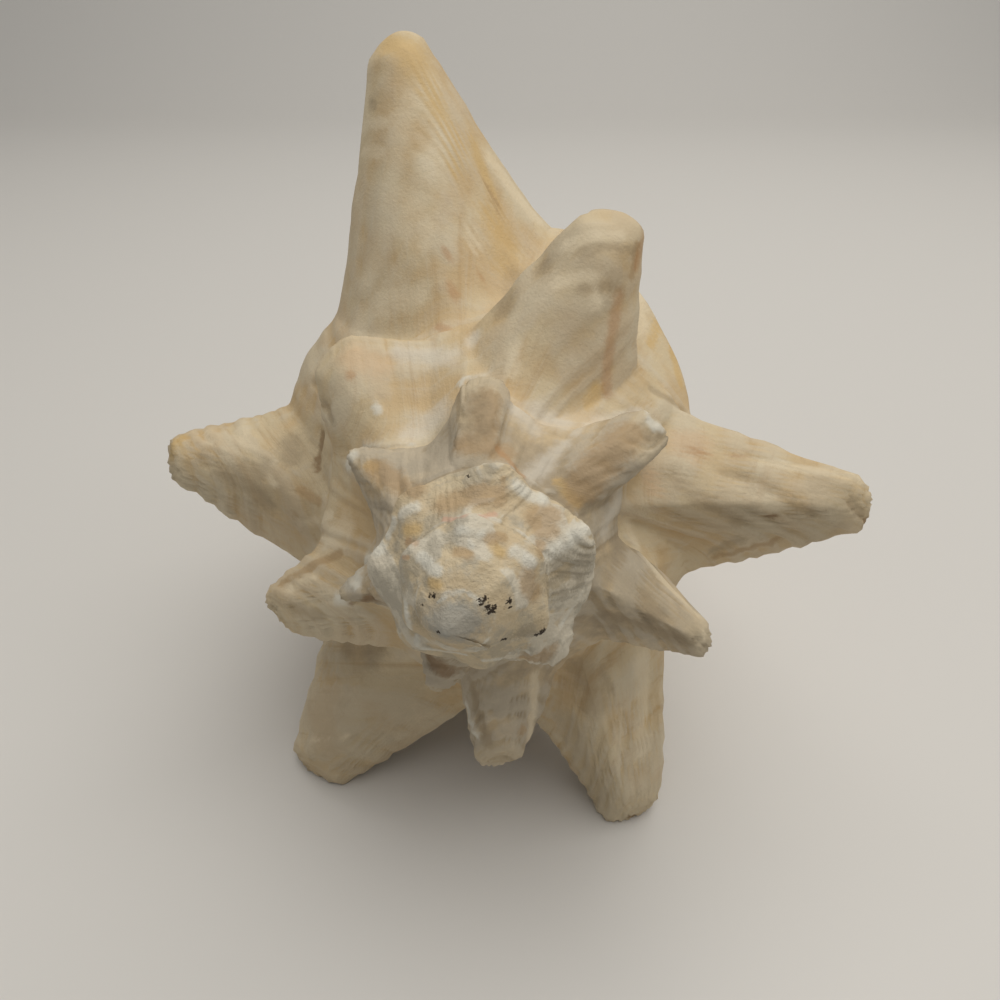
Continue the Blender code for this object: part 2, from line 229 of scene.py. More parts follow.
# The lip and the mouth. The newest edge of the wall is the lip, which slants back at the shoulder
# and has a shallow notch near the canal. Behind it the mouth runs back inside the last whorl.
WALL_THICKNESS = 4.5
POCKET_TURN = 170.0
NOTCH_SHARE = 0.80


def lip_lag(row, share):
    """How many degrees the lip's edge falls behind its end on the suture: steps up to the shoulder
    and down to the canal, with a hump for the notch."""
    lag = 50.0 * step(row / SHOULDER_ROW)
    lag = lag - 8.0 * step(share / 0.4) - 27.0 * step((share - 0.5) / 0.5)
    return lag + 9.0 * window((share - NOTCH_SHARE) / 0.10)


def column_turn(base_turn, row, share):
    """Turn angle of a column of the grid at each row: near the lip the columns bend along it."""
    bend = step((base_turn - (LAST_TURN - 170.0)) / 170.0)
    canal = 15.0 * step(share)
    return base_turn - bend * (lip_lag(row, share) - canal) - canal


def pocket_point(turn, row, share, deep, sunk):
    """A point of the mouth's outer wall: the outside moved in towards the column by the wall's
    thickness; deep goes from 0 at the lip to 1 inside, sunk is the share of the thickness."""
    radius, depth = whorl(turn, row)
    low_radius, low_depth = body(turn, share)
    on_body = share > 0
    radius = np.where(on_body, low_radius, radius)
    depth = np.where(on_body, low_depth, depth)
    target_depth = depth + 9.0 * (1.0 - step(row / SHOULDER_ROW))
    top_radius, top_depth = suture(turn - 360.0)
    target_share = np.clip((target_depth - top_depth) / (CANAL_DEPTH - top_depth), 0.0, 1.0)
    target_radius, target_depth = body(turn - 360.0, target_share, CANAL_RADIUS - 5.0 * deep)
    gap_radius = target_radius - radius
    gap_depth = target_depth - depth
    gap = np.sqrt(gap_radius ** 2 + gap_depth ** 2) + 1e-6
    move = np.minimum(WALL_THICKNESS, 0.45 * gap) * sunk / gap
    return cylinder_point(turn, radius + move * gap_radius, depth + move * gap_depth)


def column_point(turn, share, deep):
    """A point of the column side of the mouth: the older wall, set in a little."""
    start = 7.5 * deep / CANAL_DEPTH
    return cylinder_point(turn, *body(turn, start + (1.0 - start) * share, CANAL_RADIUS - 5.0 * deep))


# How it lies and how it is seen. The axis starts at the apex and dips towards the canal, so that the
# shell rests on two spines and the canal's tip, where it is worn flat. The camera looks down on the
# apex from close by, as a hand-held one would.
AXIS_HEADING = 6.58
AXIS_DIP = 23.75
APEX_POINT = (-3.64, -102.5, 96.36)
MM = 0.001
CAMERA_PLACE = (0.00223, -0.18336, 0.17336)
CAMERA_DIP = 35.79
CAMERA_ROLL = -0.11
CAMERA_ANGLES = np.radians([90.0 - CAMERA_DIP, 0.0, CAMERA_ROLL])
LENS = 27.07
SENSOR = 36.0
PHOTO_SIZE = 1000.0
FOCAL_PIXELS = PHOTO_SIZE * LENS / SENSOR
# A pixel of the photo in the middle of the shell
MIDDLE_PIXEL = (480.0, 500.0)


def shell_axes():
    """The directions across, up and along the shell's axis, from its heading and dip."""
    heading = np.radians(AXIS_HEADING)
    dip = np.radians(AXIS_DIP)
    along = np.array([np.sin(heading) * np.cos(dip), np.cos(heading) * np.cos(dip), -np.sin(dip)])
    up = np.array([np.sin(heading) * np.sin(dip), np.cos(heading) * np.sin(dip), np.cos(dip)])
    return np.stack([np.cross(along, up), up, along])


def lying(places):
    """The shell's own frame turned by heading and dip, and moved to its apex."""
    return np.array(APEX_POINT) + places @ shell_axes()


EYE = shell_axes() @ (np.array(CAMERA_PLACE) / MM - np.array(APEX_POINT))
SIGHT_AXES = shell_axes() @ np.array(Euler(CAMERA_ANGLES).to_matrix())


def seen_place(skin, pixel):
    """Where the line of sight through a pixel of the photo first meets a skin. A pixel just off the
    outline is moved towards the middle of the shell until its line does."""
    pixel = np.array(pixel)
    inward = np.array(MIDDLE_PIXEL) - pixel
    inward = inward / (np.linalg.norm(inward) + 1e-9)
    place = None
    while place is None:
        right, down = (pixel - 0.5 * PHOTO_SIZE) / FOCAL_PIXELS
        place = skin.ray_cast(Vector(EYE), Vector(SIGHT_AXES @ np.array([right, -down, -1.0])))[0]
        pixel = pixel + inward
    return np.array(place)


# The marks. Stains, bands, chips and specks, and painted shade and painted highlights on the spines,
# were drawn on five zoomed views of the photo. Each is its view, half its width and the pixels that it
# runs through, all in that view's pixels, and the lines of sight through them give its place on the
# shell. They are painted in this order.
# A view's left and top edge in the photo, and how many times it was enlarged
SPIRE_VIEW = (340.0, 360.0, 4.48)
TALL_VIEW = (330.0, 10.0, 3.733)
RIGHT_VIEW = (560.0, 380.0, 4.9)
LOW_VIEW = (270.0, 610.0, 3.824)
LEFT_VIEW = (155.0, 370.0, 5.408)
MARKS = {}
# Broad shade: painted shade, soft, on large darker zones of faces turned from the light
MARKS["haze"] = (
    (TALL_VIEW, 110, (880, 900), (1000, 1000), (900, 1200)),
    (RIGHT_VIEW, 80, (220, 950), (441, 1078), (620, 1215)), (SPIRE_VIEW, 75, (627, 180), (640, 430)),
    (LEFT_VIEW, 150, (450, 600), (800, 650)), (LEFT_VIEW, 130, (946, 1560), (1100, 1570)),
    (RIGHT_VIEW, 110, (500, 500), (700, 640), (1300, 740)),
    (LOW_VIEW, 60, (1150, 430), (1200, 560), (1262, 720)), (LOW_VIEW, 150, (200, 450), (480, 330)),
    (LEFT_VIEW, 100, (750, 420), (860, 560)), (RIGHT_VIEW, 60, (1250, 500), (1430, 600)),
)
# Bloom: whitish bloom between the spines
MARKS["bloom"] = (
    (SPIRE_VIEW, 42, (850, 520), (930, 460)), (SPIRE_VIEW, 60, (800, 230), (850, 280)),
    (SPIRE_VIEW, 60, (330, 330), (450, 240)), (SPIRE_VIEW, 50, (870, 240), (1000, 300)),
    (SPIRE_VIEW, 30, (900, 500), (960, 420), (1010, 380)),
    (SPIRE_VIEW, 26, (1060, 330), (1150, 270), (1340, 230)),
    (SPIRE_VIEW, 46, (1270, 570), (1230, 660), (1180, 760)),
    (TALL_VIEW, 40, (260, 1280), (380, 1300), (450, 1290)), (TALL_VIEW, 30, (540, 1220), (530, 1240)),
)
# Pale: pale cream bands and chips, and painted highlights on the lit edges of the ledges and scales
# of the spines
MARKS["pale"] = (
    (TALL_VIEW, 10, (125, 437), (205, 418)), (TALL_VIEW, 10, (125, 530), (190, 535)),
    (TALL_VIEW, 34, (600, 560), (690, 680), (770, 780)), (TALL_VIEW, 32, (360, 800), (350, 860)),
    (TALL_VIEW, 24, (530, 830), (540, 880)), (TALL_VIEW, 40, (200, 1110), (330, 1060)),
    (TALL_VIEW, 20, (885, 880), (960, 850), (1080, 850)),
    (TALL_VIEW, 15, (850, 1020), (900, 1000), (1000, 1000)), (TALL_VIEW, 26, (690, 1260), (680, 1360)),
    (TALL_VIEW, 22, (985, 1085), (995, 1095)), (TALL_VIEW, 36, (1170, 1030), (1160, 1190)),
    (RIGHT_VIEW, 17, (610, 470), (665, 560)), (RIGHT_VIEW, 14, (780, 590), (850, 665)),
    (RIGHT_VIEW, 22, (880, 545), (1000, 620), (1100, 620)),
    (RIGHT_VIEW, 20, (990, 400), (1200, 440), (1460, 490)),
    (RIGHT_VIEW, 25, (330, 670), (370, 800), (430, 900), (490, 965)),
    (RIGHT_VIEW, 22, (505, 990), (620, 1105), (715, 1180)), (RIGHT_VIEW, 12, (690, 1250), (692, 1270)),
    (LOW_VIEW, 11, (165, 490), (290, 482)), (LOW_VIEW, 40, (1420, 190), (1430, 350), (1420, 550)),
    (LOW_VIEW, 20, (1262, 340), (1240, 400)), (LOW_VIEW, 20, (1340, 420), (1320, 590)),
    (LOW_VIEW, 22, (1010, 250), (995, 510)), (LEFT_VIEW, 22, (290, 340), (310, 400)),
    (LEFT_VIEW, 28, (465, 325), (500, 415)), (LEFT_VIEW, 18, (530, 420), (640, 610)),
    (LEFT_VIEW, 26, (840, 825), (950, 785)), (LEFT_VIEW, 20, (730, 1185), (870, 1120)),
)
# Crest: thin cream ridges and smooth pale zones
MARKS["crest"] = (
    (TALL_VIEW, 14, (165, 100), (145, 160), (125, 300), (116, 410)),
    (TALL_VIEW, 14, (370, 270), (270, 390), (245, 540), (220, 740)),
    (TALL_VIEW, 14, (420, 490), (370, 570), (310, 720), (275, 830)),
    (TALL_VIEW, 10, (230, 780), (185, 900), (145, 1010)),
    (TALL_VIEW, 10, (250, 1010), (185, 1080), (120, 1165)),
    (LEFT_VIEW, 28, (905, 970), (980, 900), (1030, 850)),
)
# Peach: peach tinges
MARKS["peach"] = (
    (TALL_VIEW, 55, (90, 1300), (170, 1330)), (RIGHT_VIEW, 55, (570, 310), (700, 300), (660, 370)),
    (RIGHT_VIEW, 36, (430, 470), (460, 540)),
)
# Ochre: golden ochre patches and streaks
MARKS["ochre"] = (
    (SPIRE_VIEW, 30, (300, 760), (340, 755)), (SPIRE_VIEW, 30, (690, 840), (720, 860)),
    (SPIRE_VIEW, 26, (415, 1000), (440, 1010)), (SPIRE_VIEW, 26, (980, 545), (1010, 590), (1070, 640)),
    (SPIRE_VIEW, 26, (130, 475), (150, 480)), (TALL_VIEW, 48, (220, 120), (300, 150), (330, 230)),
    (TALL_VIEW, 33, (395, 330), (410, 410)), (TALL_VIEW, 27, (480, 490), (455, 590)),
    (TALL_VIEW, 20, (530, 485), (590, 650), (625, 740)),
    (TALL_VIEW, 55, (610, 790), (650, 860), (660, 950)), (TALL_VIEW, 28, (960, 1470), (1000, 1420)),
    (TALL_VIEW, 20, (1235, 1160), (1200, 1250)), (TALL_VIEW, 16, (1290, 1260), (1310, 1400)),
    (LOW_VIEW, 20, (1440, 415), (1450, 425)), (LEFT_VIEW, 42, (135, 375), (105, 450)),
)
# Tan: tan panels and stripes
MARKS["tan"] = (
    (SPIRE_VIEW, 45, (470, 635), (560, 615), (700, 605)), (SPIRE_VIEW, 14, (732, 530), (732, 600)),
    (SPIRE_VIEW, 48, (880, 700), (940, 700)), (SPIRE_VIEW, 40, (900, 760), (940, 760)),
    (SPIRE_VIEW, 22, (895, 820), (900, 860)), (SPIRE_VIEW, 24, (660, 800), (730, 790)),
    (SPIRE_VIEW, 22, (520, 860), (570, 870)), (SPIRE_VIEW, 36, (840, 960), (830, 1010), (870, 1040)),
    (SPIRE_VIEW, 50, (660, 180), (650, 330)), (SPIRE_VIEW, 45, (560, 380), (690, 400), (740, 420)),
    (SPIRE_VIEW, 62, (1300, 340), (1180, 450), (1080, 570)),
    (SPIRE_VIEW, 42, (160, 490), (230, 540), (330, 570)),
    (SPIRE_VIEW, 26, (820, 1330), (900, 1335), (945, 1290)), (TALL_VIEW, 12, (592, 670), (630, 745)),
    (TALL_VIEW, 15, (1145, 880), (1125, 990)), (RIGHT_VIEW, 22, (760, 870), (900, 825), (1080, 775)),
    (LOW_VIEW, 24, (1000, 170), (1050, 155)), (LOW_VIEW, 20, (955, 455), (965, 465)),
    (LEFT_VIEW, 26, (770, 645), (890, 715)), (LEFT_VIEW, 18, (760, 775), (765, 785)),
    (LEFT_VIEW, 12, (690, 1160), (800, 1095), (880, 1045), (1000, 992)),
)
# Dull: dull grey-tan hollows, and painted shade on shaded facets and under the ledges and scales
# of the spines
MARKS["dull"] = (
    (SPIRE_VIEW, 62, (610, 190), (620, 300)), (SPIRE_VIEW, 32, (1390, 350), (1420, 340)),
    (TALL_VIEW, 14, (150, 345), (165, 360)), (TALL_VIEW, 13, (930, 908), (1010, 885), (1130, 895)),
    (TALL_VIEW, 11, (940, 1037), (1040, 1032), (1085, 1050)), (TALL_VIEW, 44, (705, 1000), (650, 1110)),
    (TALL_VIEW, 34, (790, 960), (800, 970)), (TALL_VIEW, 9, (1205, 1415), (1270, 1460), (1320, 1498)),
    (RIGHT_VIEW, 36, (650, 570), (760, 610), (890, 690)), (RIGHT_VIEW, 34, (760, 840), (870, 780)),
    (RIGHT_VIEW, 14, (810, 455), (980, 500), (1100, 565), (1250, 655)),
    (RIGHT_VIEW, 26, (1430, 600), (1480, 670)), (RIGHT_VIEW, 28, (460, 275), (490, 270)),
    (RIGHT_VIEW, 34, (230, 1150), (400, 1200), (630, 1285)), (LOW_VIEW, 42, (300, 150), (290, 120)),
    (LOW_VIEW, 55, (400, 140), (380, 170)), (LOW_VIEW, 60, (1190, 220), (1240, 370)),
    (LOW_VIEW, 20, (1270, 235), (1300, 305)), (LOW_VIEW, 11, (772, 270), (828, 510)),
    (LEFT_VIEW, 60, (470, 540), (560, 560)), (LEFT_VIEW, 60, (720, 380), (740, 480)),
    (RIGHT_VIEW, 40, (560, 480), (620, 520)), (RIGHT_VIEW, 50, (420, 1080), (470, 1150)),
    (LEFT_VIEW, 34, (260, 460), (420, 610)), (LEFT_VIEW, 50, (500, 610), (610, 730)),
    (LEFT_VIEW, 40, (750, 1290), (890, 1320)), (LEFT_VIEW, 18, (870, 70), (920, 180), (960, 260)),
)
# Chalk: chalky white ridges, rims, worn knobs and the bands between the tan panels
MARKS["chalk"] = (
    (SPIRE_VIEW, 26, (545, 765), (630, 775)), (SPIRE_VIEW, 17, (580, 820), (590, 835)),
    (SPIRE_VIEW, 32, (785, 855), (850, 905)), (SPIRE_VIEW, 26, (365, 880), (410, 930), (435, 945)),
    (SPIRE_VIEW, 28, (275, 685), (335, 655)), (SPIRE_VIEW, 22, (215, 790), (240, 720)),
    (SPIRE_VIEW, 34, (1095, 745), (1000, 820), (935, 870)),
    (SPIRE_VIEW, 36, (800, 560), (850, 600), (900, 620)),
    (SPIRE_VIEW, 12, (535, 105), (600, 92), (680, 105)),
    (SPIRE_VIEW, 11, (440, 1090), (480, 1050), (540, 1040), (610, 1060), (650, 1100)),
    (SPIRE_VIEW, 9, (700, 1150), (695, 1190), (660, 1250), (610, 1300)),
    (SPIRE_VIEW, 18, (295, 1090), (305, 1180), (350, 1270)),
    (SPIRE_VIEW, 12, (365, 1285), (450, 1305), (560, 1325)),
    (SPIRE_VIEW, 12, (640, 1345), (860, 1305), (960, 1235), (1020, 1130), (1080, 1040)),
    (SPIRE_VIEW, 32, (5, 1070), (80, 1000), (130, 900), (180, 850)),
    (SPIRE_VIEW, 26, (45, 470), (60, 430)), (SPIRE_VIEW, 15, (120, 388), (220, 392), (330, 385)),
    (SPIRE_VIEW, 13, (560, 85), (650, 80)), (SPIRE_VIEW, 20, (1370, 245), (1400, 300), (1440, 310)),
    (RIGHT_VIEW, 15, (430, 200), (475, 228)), (LOW_VIEW, 18, (755, 350), (790, 470)),
    (LEFT_VIEW, 14, (1195, 205), (1205, 215)),
)
# Ash: the ash-grey worn face of the nub
MARKS["ash"] = (
    (SPIRE_VIEW, 105, (470, 1170), (560, 1185)),
)
# Rose: a thin glossy rose line under the newest old panel
MARKS["rose"] = (
    (SPIRE_VIEW, 16, (470, 712), (560, 700), (690, 690)),
)
# Rust: small rust-orange stains
MARKS["rust"] = (
    (SPIRE_VIEW, 18, (300, 815), (340, 825)), (SPIRE_VIEW, 11, (285, 885), (305, 885)),
    (SPIRE_VIEW, 16, (700, 390), (740, 440), (820, 520)), (TALL_VIEW, 14, (405, 1185), (455, 1193)),
    (TALL_VIEW, 10, (440, 1025), (478, 1078)), (TALL_VIEW, 10, (440, 900), (432, 918)),
    (TALL_VIEW, 10, (565, 985), (575, 985)),
    (TALL_VIEW, 12, (1085, 745), (1130, 770), (1165, 850), (1140, 960)),
    (TALL_VIEW, 26, (1078, 1070), (1050, 1180), (1035, 1300), (1030, 1430)),
    (RIGHT_VIEW, 16, (640, 345), (700, 360)), (RIGHT_VIEW, 14, (860, 375), (875, 365)),
    (LEFT_VIEW, 16, (1055, 30), (1065, 40)),
)
# Umber: dark brown lines and triangles, partly painted shade, and painted shade in the slots at the
# foot of the left-hand spine
MARKS["umber"] = (
    (SPIRE_VIEW, 46, (410, 1350), (450, 1375)), (RIGHT_VIEW, 15, (1030, 665), (1055, 668)),
    (RIGHT_VIEW, 12, (1495, 690), (1505, 690)), (LOW_VIEW, 7, (1375, 790), (1385, 790)),
    (LOW_VIEW, 36, (640, 215), (680, 235)), (LEFT_VIEW, 30, (900, 345), (890, 415)),
    (LEFT_VIEW, 26, (880, 475), (870, 535)), (LEFT_VIEW, 26, (1070, 1245), (1170, 1235)),
)
# Grime: grey-brown speckled grime
MARKS["grime"] = (
    (SPIRE_VIEW, 46, (960, 920), (1050, 980), (1090, 900)), (SPIRE_VIEW, 28, (930, 1010), (1000, 1040)),
    (SPIRE_VIEW, 26, (350, 1130), (360, 1190)), (SPIRE_VIEW, 30, (880, 1200), (800, 1230)),
)
# Soot: black specks
MARKS["soot"] = (
    (SPIRE_VIEW, 7, (650, 1050), (652, 1075)), (SPIRE_VIEW, 7, (615, 1078), (635, 1095)),
    (SPIRE_VIEW, 12, (655, 1105), (690, 1112)), (SPIRE_VIEW, 8, (672, 1130), (688, 1132)),
    (SPIRE_VIEW, 8, (755, 1075), (765, 1082)), (SPIRE_VIEW, 5, (742, 1112), (768, 1104)),
    (SPIRE_VIEW, 7, (402, 1060), (435, 1053)), (SPIRE_VIEW, 6, (368, 1098), (374, 1098)),
    (SPIRE_VIEW, 6, (436, 1217), (442, 1219)), (SPIRE_VIEW, 10, (880, 1228), (915, 1210)),
    (SPIRE_VIEW, 7, (725, 1256), (745, 1252)), (SPIRE_VIEW, 5, (565, 518), (585, 520)),
)


def marked(places, marks):
    """How much each place lies on any of a list of marks: half at a mark's half width from its
    line, 1 at a fifth of that and 0 at nine fifths."""
    shown = np.zeros(places.shape[:-1])
    for width, *line in marks:
        line = np.array(line)
        inside = (places > line.min(axis=0) - 2.0 * width) & (places < line.max(axis=0) + 2.0 * width)
        near = np.nonzero(np.all(inside, axis=-1))
        far = np.full(len(near[0]), 1000.0)
        for start, end in zip(line[:-1], line[1:]):
            run = end - start
            part = np.clip((places[near] - start) @ run / (run @ run + 0.001), 0.0, 1.0)
            far = np.minimum(far, np.linalg.norm(places[near] - start - part[:, None] * run, axis=1))
        shown[near] = np.maximum(shown[near], np.clip((1.8 * width - far) / (1.6 * width), 0.0, 1.0))
    return shown


# Least half widths in millimetres, so that a mark is no finer than the mesh on the large spines
LEAST_WIDTH = 1.0
LEAST_TALL_PALE = 1.4
LEAST_CREST = 2.6
# How much wider than drawn some kinds are painted, because their edges fray
SPIRE_TAN_WIDER = 1.25
WIDER = {"soot": 1.15, "grime": 1.3}


def mark_on_shell(skin, kind, view, width, *pixels):
    """A mark's half width and places in the shell's frame, from its pixels on a view."""
    left, top, zoom = view
    places = [seen_place(skin, (left + right / zoom, top + down / zoom)) for right, down in pixels]
    half_width = width / zoom / FOCAL_PIXELS * np.linalg.norm(places[0] - EYE)
    least = 0.0 if view == SPIRE_VIEW else LEAST_WIDTH
    if kind == "pale" and view == TALL_VIEW:
        least = LEAST_TALL_PALE
    if kind == "crest":
        least = LEAST_CREST
    wider = SPIRE_TAN_WIDER if kind == "tan" and view == SPIRE_VIEW else WIDER.get(kind, 1.0)
    return (max(half_width, least) * wider, *places)


# The relief. Growth left fine ridges along every old lip edge and low cords round the whorls, and
# years outdoors wore and chipped them. It is worked out as a height above the smooth wall.
LATTICE = 64
FINE_RIDGES_PER_DEGREE = 0.36
COARSE_RIDGES_PER_DEGREE = 0.11
LEDGES_PER_DEGREE = 0.075
# Turns where the wall is smoother: the knob behind the tall spines, and the tallest spine
CALM_TURN = 685.0
CALM_WIDTH = 50.0
CALM_SHARE = 0.75
TALL_TURN = 1035.0
SPINE_LINES = 95.0
# Heights in millimetres: the least of a ridge, and what it gains on a whorl of full size
LEAST_RIDGE = 0.08
FINE_RIDGE = 0.20
COARSE_RIDGE = 0.34
LEDGE_RISE = 0.20
SPINE_LEDGE_RISE = 1.10
CORD_RISE = 0.13
SUTURE_RISE = 0.45
CHALK_RISE = 0.5
DULL_SINK = 0.4
UMBER_SINK = 0.6
# Whorls older than this turn are worn, fully so this many degrees before it
WORN_TURN = 470.0
WORN_DEGREES = 260.0
# Lumps: their size, their height, what wear adds to it, and a seed
LUMPS = ((7.5, 0.25, 0.25, 8), (3.0, 0.10, 0.20, 9), (1.3, 0.0, 0.12, 10))
# Lumps on the tips of the spines: their size, their height and a seed
TIP_LUMPS = ((5.0, 0.30, 11), (2.4, 0.15, 12))
RAMP_CORDS = 8.0
BODY_CORDS = 30.0


def lattice_noise(points, size, seed):
    """Smooth noise from -1 to 1: random values on a lattice of that size, blended between its
    eight nearest corners."""
    values = np.random.default_rng(seed).uniform(-1.0, 1.0, (LATTICE, LATTICE, LATTICE))
    place = points / size + 1000.0
    cell = np.floor(place).astype(int)
    part = step(place - cell)
    total = 0.0
    for corner in range(8):
        bits = np.array([corner & 1, (corner >> 1) & 1, (corner >> 2) & 1])
        weight = np.prod(np.where(bits, part, 1.0 - part), axis=-1)
        index = (cell + bits) % LATTICE
        total = total + weight * values[index[..., 0], index[..., 1], index[..., 2]]
    return total


def line_noise(place, seed):
    """Smooth noise from -1 to 1 along one number: random values blended between whole numbers."""
    values = np.random.default_rng(seed).uniform(-1.0, 1.0, 4096)
    cell = np.floor(place).astype(int)
    part = step(place - cell)
    return values[cell % 4096] * (1.0 - part) + values[(cell + 1) % 4096] * part


def growth_line(turn, up_spine):
    """When the wall was laid, as a turn angle: a spine's tip was laid before its foot, so that the
    old lip edges cross it slantwise."""
    upright = 0.90 * window((turn - 1060.0) / 75.0) + 0.97 * window((turn - 722.0) / 80.0)
    return turn - SPINE_LINES * (1.0 - upright) * up_spine


def relief(turn, row, share, points, up_spine):
    """Height above the smooth wall in millimetres: ridges along the growth lines, ledges on the
    spines, cords round the whorls, a raised edge at the suture, and lumps where it is worn."""
    size = growth(turn)
    waver = 2.2 * lattice_noise(points, 16.0, 1) + 0.8 * lattice_noise(points, 6.0, 2)
    line = growth_line(turn, up_spine) + waver
    fine = line_noise(line * FINE_RIDGES_PER_DEGREE, 3)
    coarse = line_noise(line * COARSE_RIDGES_PER_DEGREE, 4)
    saw = (line * LEDGES_PER_DEGREE) % 1.0
    ledge = saw * step((1.0 - saw) / 0.22)
    strong = 0.5 + 0.5 * lattice_noise(points, 22.0, 5)
    calm = window((turn - CALM_TURN) / CALM_WIDTH) + step((turn - TALL_TURN) / 20.0)
    kept = (0.1 + 0.9 * step((turn + 240.0) / 380.0)) * (1.0 - CALM_SHARE * np.minimum(calm, 1.0))
    height = kept * (LEAST_RIDGE + FINE_RIDGE * size) * fine
    height = height + kept * (LEAST_RIDGE + COARSE_RIDGE * size) * coarse
    ledge_rise = LEDGE_RISE + SPINE_LEDGE_RISE * step(up_spine * 1.8)
    height = height + kept * ledge_rise * ledge * size * (0.4 + strong)
    cord_place = np.where(share > 0, share * BODY_CORDS, row * RAMP_CORDS)
    cord = np.cos(2.0 * np.pi * (cord_place + 0.25 * lattice_noise(points, 18.0, 6)))
    height = height + CORD_RISE * size * cord * (0.6 + 0.4 * lattice_noise(points, 9.0, 7))
    edge = np.where(share > 0, 0.0, window((row - 0.05) / 0.05) - 0.9 * window(row / 0.035))
    height = height + SUTURE_RISE * np.sqrt(size) * edge * step((turn + 230.0) / 60.0)
    height = height + CHALK_RISE * np.sqrt(size) * marked(points, shell_marks["chalk"])
    height = height - DULL_SINK * np.sqrt(size) * marked(points, shell_marks["dull"])
    height = height - UMBER_SINK * np.sqrt(size) * marked(points, shell_marks["umber"])
    worn = step((WORN_TURN - turn) / WORN_DEGREES)
    for lump_size, rise, worn_rise, seed in LUMPS:
        height = height + (rise + worn_rise * worn) * lattice_noise(points, lump_size, seed)
    tip = step((up_spine - 0.75) / 0.2)
    for lump_size, rise, seed in TIP_LUMPS:
        height = height + tip * rise * lattice_noise(points, lump_size, seed)
    return height


def raised(points, height):
    """A grid of points moved along its own normals by a height."""
    along = np.gradient(points, axis=0)
    down = np.gradient(points, axis=1)
    normal = np.cross(down, along)
    normal = normal / (np.linalg.norm(normal, axis=-1, keepdims=True) + 1e-9)
    return points + normal * height[..., None]


# The surface. The wall is one grid that winds round the coil, with the last turn going on down to
# the canal, a worn nub closing the oldest turn and rings lining the mouth: one closed skin.
COLUMNS = 420
TURNS = 4.75
RAMP_ROWS = 26
EDGE_ROWS = 4
WHORL_ROWS = RAMP_ROWS + EDGE_ROWS
BODY_ROWS = 48
NUB_PEAK = (-1.9, -4.9, 1.5)
NUB_BULGE = 1.9
NUB_SWIRL = 0.05
CANAL_DOME = 2.0
CANAL_BULGE = 2.0
NUB_RINGS = (0.96, 0.9, 0.83, 0.76, 0.69, 0.62, 0.55, 0.48, 0.41, 0.34, 0.27, 0.2, 0.13, 0.06)
# The worn core of the nub stands out as a low pearl
PEARL_RISE = 1.1
PEARL_RADIUS = 4.6
CANAL_RINGS = (0.85, 0.6, 0.3)
LIP_ROUND = (45.0, 90.0, 135.0)
LIP_ROUND_DEGREES = 1.5
POCKET_DEGREES = (0.0, 1.5, 4.0, 8.0, 13.0, 19.0, 26.0, 34.0, 44.0, 56.0, 70.0, 86.0, 104.0, 124.0, 146.0,
                  POCKET_TURN)


def dome_ring(edge, peak, share, bulge, pearl):
    """A ring between an edge (share 1) and a peak (share 0): its depth follows the share to a power,
    with fine lumps and a low round pearl at the peak."""
    inner = peak + (edge - peak) * share
    inner[:, 2] = peak[2] + (edge[:, 2] - peak[2]) * share ** bulge
    inner[:, 2] += 0.25 * lattice_noise(inner, 2.6, 13) + 0.15 * lattice_noise(inner, 1.1, 14)
    inner[:, 2] -= pearl * window(np.linalg.norm(inner[:, :2] - peak[:2], axis=1) / PEARL_RADIUS)
    return inner


def nub_rim(grid):
    """The open edge round the nub: the oldest turn's upper edge, and back up its first column."""
    return np.concatenate([grid[:COLUMNS + 1, 0], grid[0, WHORL_ROWS - 1:0:-1]])


def search_skin(grids):
    """A search tree of the quads of some grids of points."""
    corners = []
    quads = []
    count = 0
    for grid in grids:
        index = count + np.arange(grid.shape[0] * grid.shape[1]).reshape(grid.shape[:2])
        around = (index[:-1, :-1], index[1:, :-1], index[1:, 1:], index[:-1, 1:])
        quads.append(np.stack(around, axis=-1).reshape(-1, 4))
        corners.append(grid.reshape(-1, 3))
        count += index.size
    return BVHTree.FromPolygons(np.concatenate(corners).tolist(), np.concatenate(quads).tolist())


total = int(round(COLUMNS * TURNS))
first = total - COLUMNS
base_turn = LAST_TURN - (total - np.arange(total + 1)) * 360.0 / COLUMNS
rows = np.concatenate([np.linspace(0.0, SHOULDER_ROW, RAMP_ROWS + 1),
                       np.linspace(SHOULDER_ROW, 1.0, EDGE_ROWS + 1)[1:]])
shares = (np.arange(BODY_ROWS + 1) / BODY_ROWS) ** 1.35

turn_grid, row_grid = np.meshgrid(base_turn, rows, indexing="ij")
whorl_turn = column_turn(turn_grid, row_grid, 0.0 * row_grid)
whorl_smooth, whorl_spine = outer_surface(whorl_turn, row_grid, 0.0 * row_grid)

last_turns, share_grid = np.meshgrid(base_turn[first:], shares, indexing="ij")
body_turn = column_turn(last_turns, 1.0 + 0.0 * share_grid, share_grid)
body_share = np.maximum(share_grid, 1e-9)
body_smooth, body_spine = outer_surface(body_turn, 1.0 + 0.0 * share_grid, body_share)

# The marks are placed on the smooth shell, which has no relief yet
rim = nub_rim(whorl_smooth)
rim = np.append(rim, rim[:1], axis=0)
nub_shares = (1.0, *NUB_RINGS, 0.0)
nub_rings = [dome_ring(rim, np.array(NUB_PEAK), share, NUB_BULGE, PEARL_RISE) for share in nub_shares]
skin = search_skin([whorl_smooth, body_smooth, np.stack(nub_rings)])
shell_marks = {kind: [mark_on_shell(skin, kind, *mark) for mark in marks] for kind, marks in MARKS.items()}

whorl_relief = relief(whorl_turn, row_grid, 0.0 * row_grid, whorl_smooth, whorl_spine)
whorl_points = raised(whorl_smooth, whorl_relief)
body_relief = relief(body_turn, 1.0 + 0.0 * share_grid, body_share, body_smooth, body_spine)
body_points = raised(body_smooth, body_relief)

